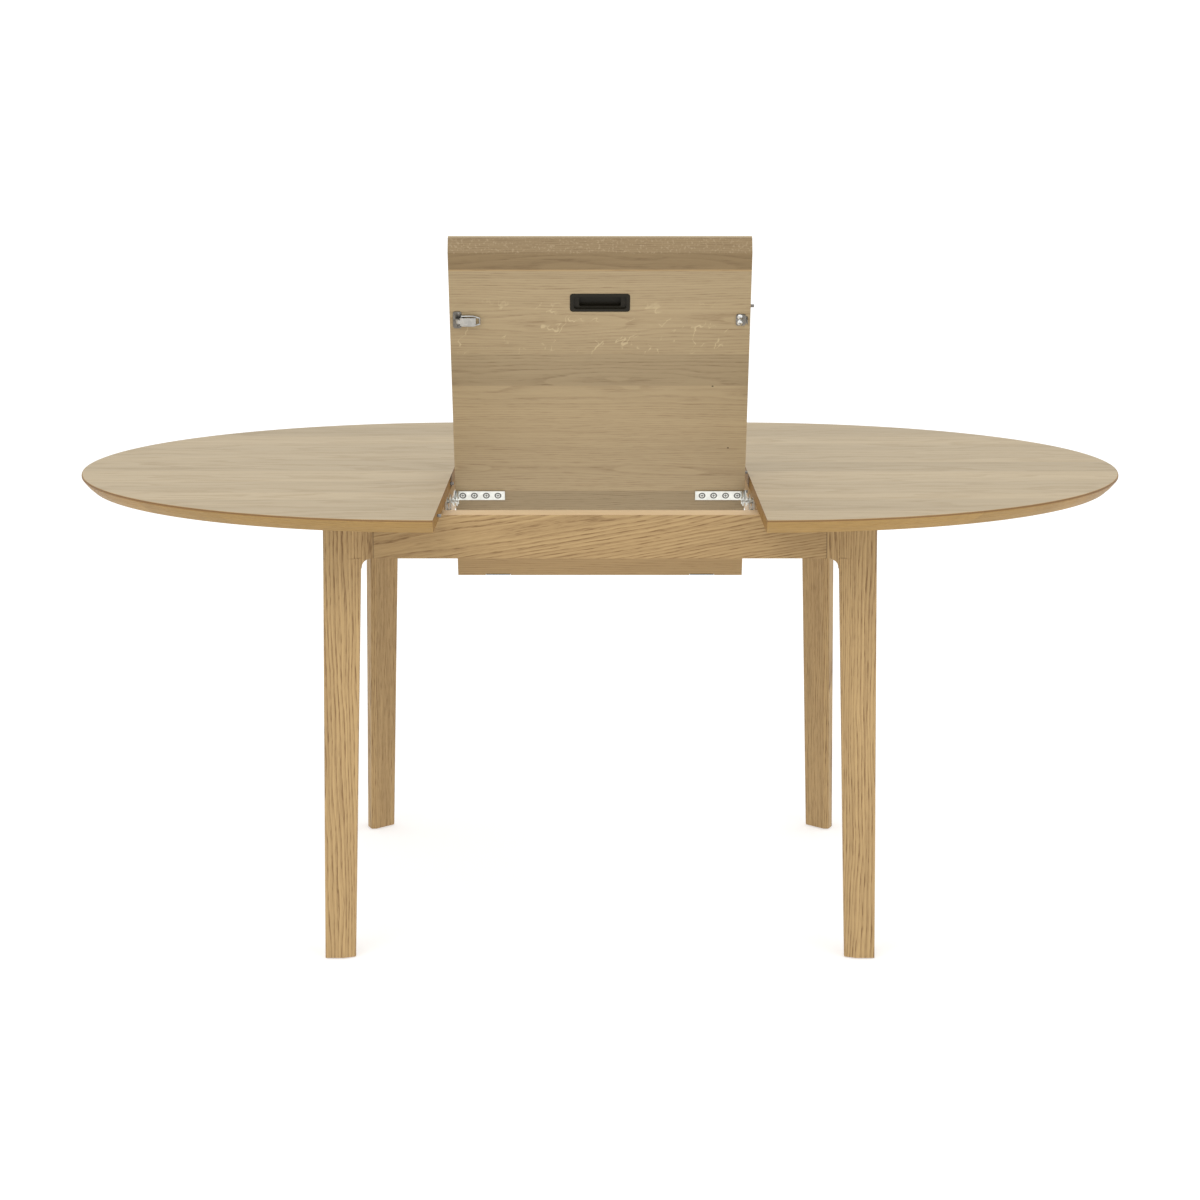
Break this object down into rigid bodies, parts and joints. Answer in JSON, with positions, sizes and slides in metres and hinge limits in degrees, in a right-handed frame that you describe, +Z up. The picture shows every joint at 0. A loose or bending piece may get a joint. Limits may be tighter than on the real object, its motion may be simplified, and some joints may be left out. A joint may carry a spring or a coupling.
{
  "type": "round extending dining table with folding butterfly leaf",
  "caption": "Round oak table on four legs, pulled apart into two half discs on slides, with a folded butterfly leaf half raised on pivots between them.",
  "frame": {"origin": "on the floor below the middle of the table", "axes": "+X the pull direction of the two halves, to the right as seen from the front; +Y from the front to the back; +Z up"},
  "size_m": [1.7978, 1.29, 1.1758],
  "materials": {
    "oak_top": "natural oak, matt lacquer, grain along X",
    "oak_frame": "natural oak, matt lacquer",
    "beech": "plain light hardwood, sanded",
    "zinc_plated": "bright zinc plated steel",
    "dark_steel": "browned steel",
    "black_plastic": "black, moulded"
  },
  "bodies": {
    "frame": {"leg_front_left": "oak_frame", "leg_front_right": "oak_frame", "leg_back_left": "oak_frame", "leg_back_right": "oak_frame", "apron_front": "oak_frame", "apron_back": "oak_frame", "apron_left": "oak_frame", "apron_right": "oak_frame", "corner_braces": "beech", "corner_bolts": "zinc_plated", "guide_front": "beech", "guide_back": "beech", "travel_stops": "zinc_plated", "crossbar_left": "beech", "crossbar_right": "beech", "pivot_bracket_left": "zinc_plated", "pivot_bracket_right": "zinc_plated", "bracket_screws": "zinc_plated", "foot_glides": "black_plastic"},
    "top_left": {"tabletop_left": "oak_top", "slide_left_front": "beech", "slide_left_back": "beech", "slide_shoes_left": "black_plastic", "slide_screws_left": "zinc_plated", "dowel_pins_left": "zinc_plated", "keeper_left": "zinc_plated", "keeper_screws_left": "zinc_plated"},
    "top_right": {"tabletop_right": "oak_top", "slide_right_front": "beech", "slide_right_back": "beech", "slide_shoes_right": "black_plastic", "slide_screws_right": "zinc_plated", "latch_base_right": "zinc_plated", "latch_screws_right": "zinc_plated"},
    "lever_right": {"latch_lever_right": "zinc_plated"},
    "bail_right": {"latch_bail_right": "zinc_plated"},
    "leaf_carrier": {"pivot_pin_left": "zinc_plated", "pivot_pin_right": "zinc_plated"},
    "leaf_front": {"leaf_front": "oak_top", "pull_cup": "black_plastic", "strap_left": "zinc_plated", "strap_right": "zinc_plated", "strap_screws": "zinc_plated", "latch_base_leaf": "zinc_plated", "latch_screws_leaf": "zinc_plated", "keeper_leaf": "zinc_plated", "keeper_screws_leaf": "zinc_plated", "dowel_pins_leaf_front": "zinc_plated", "hinges_front": "dark_steel", "hinge_pins": "dark_steel"},
    "lever_leaf": {"latch_lever_leaf": "zinc_plated"},
    "bail_leaf": {"latch_bail_leaf": "zinc_plated"},
    "leaf_back": {"leaf_back": "oak_top", "hinges_back": "dark_steel", "dowel_pins_leaf_back": "zinc_plated"}
  },
  "joints": [
    {"name": "leaf_stow", "type": "hinge", "parent": "frame", "child": "leaf_carrier", "pos_m": [0, -0.165, 0.72], "axis": [1, 0, 0], "range_deg": [-114.3, 0]},
    {"name": "leaf_layout", "type": "hinge", "parent": "leaf_carrier", "child": "leaf_front", "pos_m": [0, -0.165, 0.72], "axis": [1, 0, 0], "range_deg": [0, 65.7]},
    {"name": "leaf_unfold", "type": "hinge", "parent": "leaf_front", "child": "leaf_back", "pos_m": [0, -0.06042, 0.58618], "axis": [-1, 0, 0], "range_deg": [0, 180]},
    {"name": "top_left_slide", "type": "slide", "parent": "frame", "child": "top_left", "axis": [1, 0, 0], "range_m": [0, 0.0075]},
    {"name": "top_right_slide", "type": "slide", "parent": "frame", "child": "top_right", "axis": [-1, 0, 0], "range_m": [0, 0.0075]},
    {"name": "leaf_latch_lever", "type": "hinge", "parent": "leaf_front", "child": "lever_leaf", "pos_m": [-0.233, -0.29307, 1.03523], "axis": [0, -0.4115, 0.9114], "range_deg": [-90, 0]},
    {"name": "leaf_latch_bail", "type": "hinge", "parent": "lever_leaf", "child": "bail_leaf", "pos_m": [-0.226, -0.29261, 1.03543], "axis": [0, 0.4115, -0.9114], "range_deg": [0, 178]},
    {"name": "right_latch_lever", "type": "hinge", "parent": "top_right", "child": "lever_right", "pos_m": [0.2676, -0.505, 0.733], "axis": [0, -1, 0], "range_deg": [-90, 0]},
    {"name": "right_latch_bail", "type": "hinge", "parent": "lever_right", "child": "bail_right", "pos_m": [0.2746, -0.505, 0.7335], "axis": [0, 1, 0], "range_deg": [0, 178]}
  ],
  "couplings": [
    {"joint": "leaf_unfold", "follows": "leaf_layout", "ratio": 2.7397}
  ]
}
